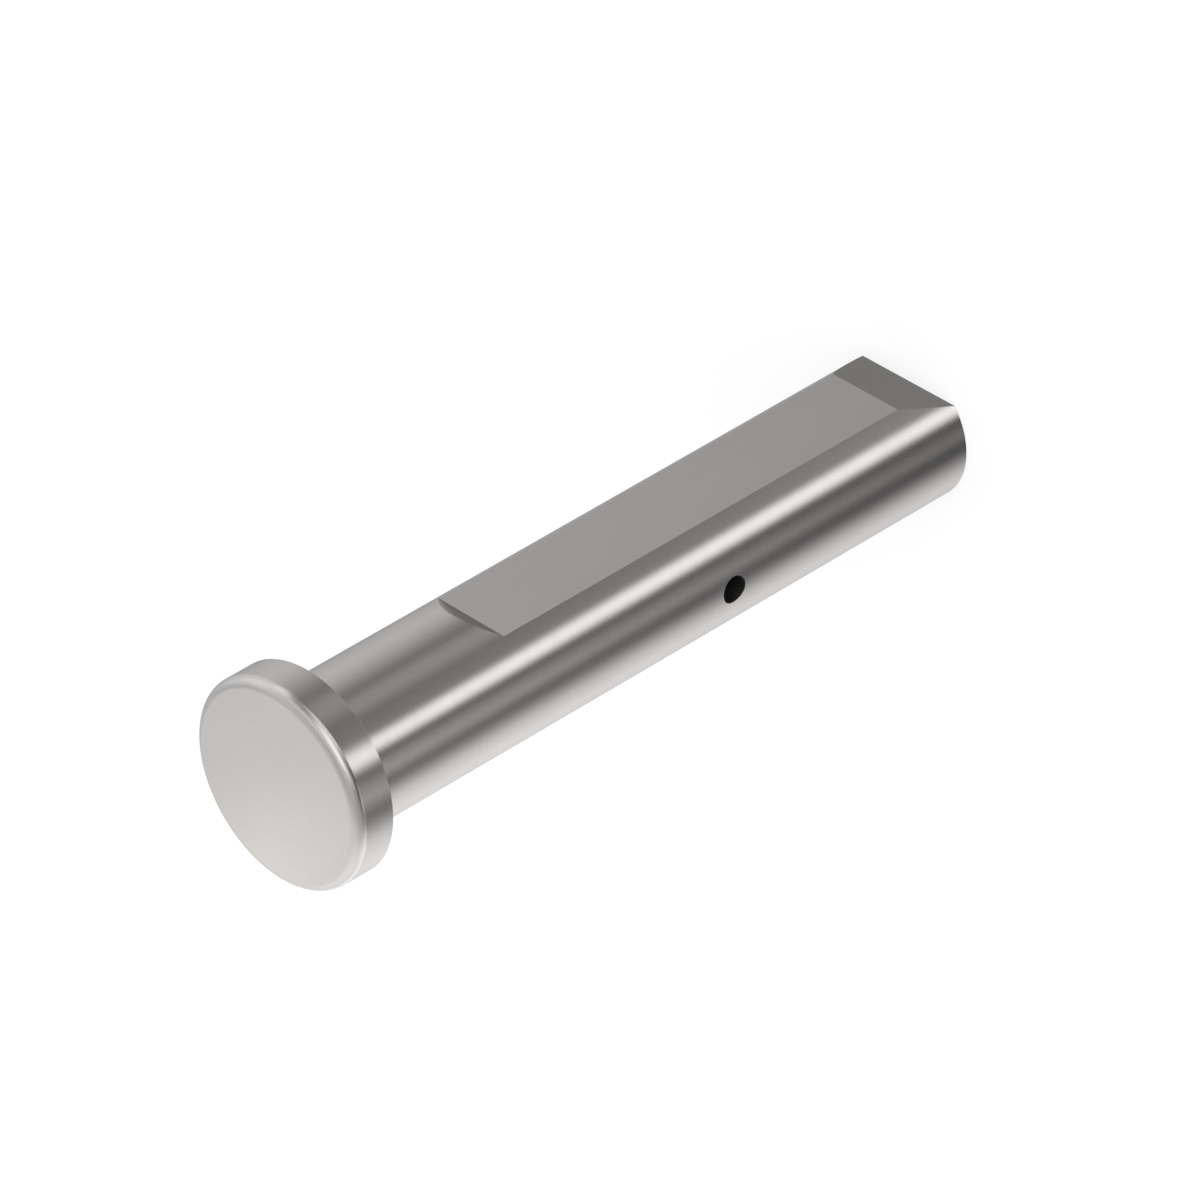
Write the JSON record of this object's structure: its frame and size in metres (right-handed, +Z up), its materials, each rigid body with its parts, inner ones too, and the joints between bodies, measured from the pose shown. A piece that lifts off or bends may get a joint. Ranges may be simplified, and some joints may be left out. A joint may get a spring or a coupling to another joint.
{
  "type": "cam pin",
  "caption": "Headed cam pin: round head, plain shank with one long milled flat ramped at both ends, and a small cross hole.",
  "frame": {"origin": "middle of the tip's end face, on the shank's axis", "axes": "+Z up the pin's axis from the tip to the head, +X out of the milled flat, +Y along the cross hole"},
  "size_m": [0.0168, 0.0168, 0.0646],
  "materials": {
    "steel": "plain stainless steel, fine-turned round the head and shank, fine-milled on the flat and its ramps, satin, no plating or paint"
  },
  "bodies": {
    "root": {"cam_pin": "steel"}
  },
  "joints": []
}
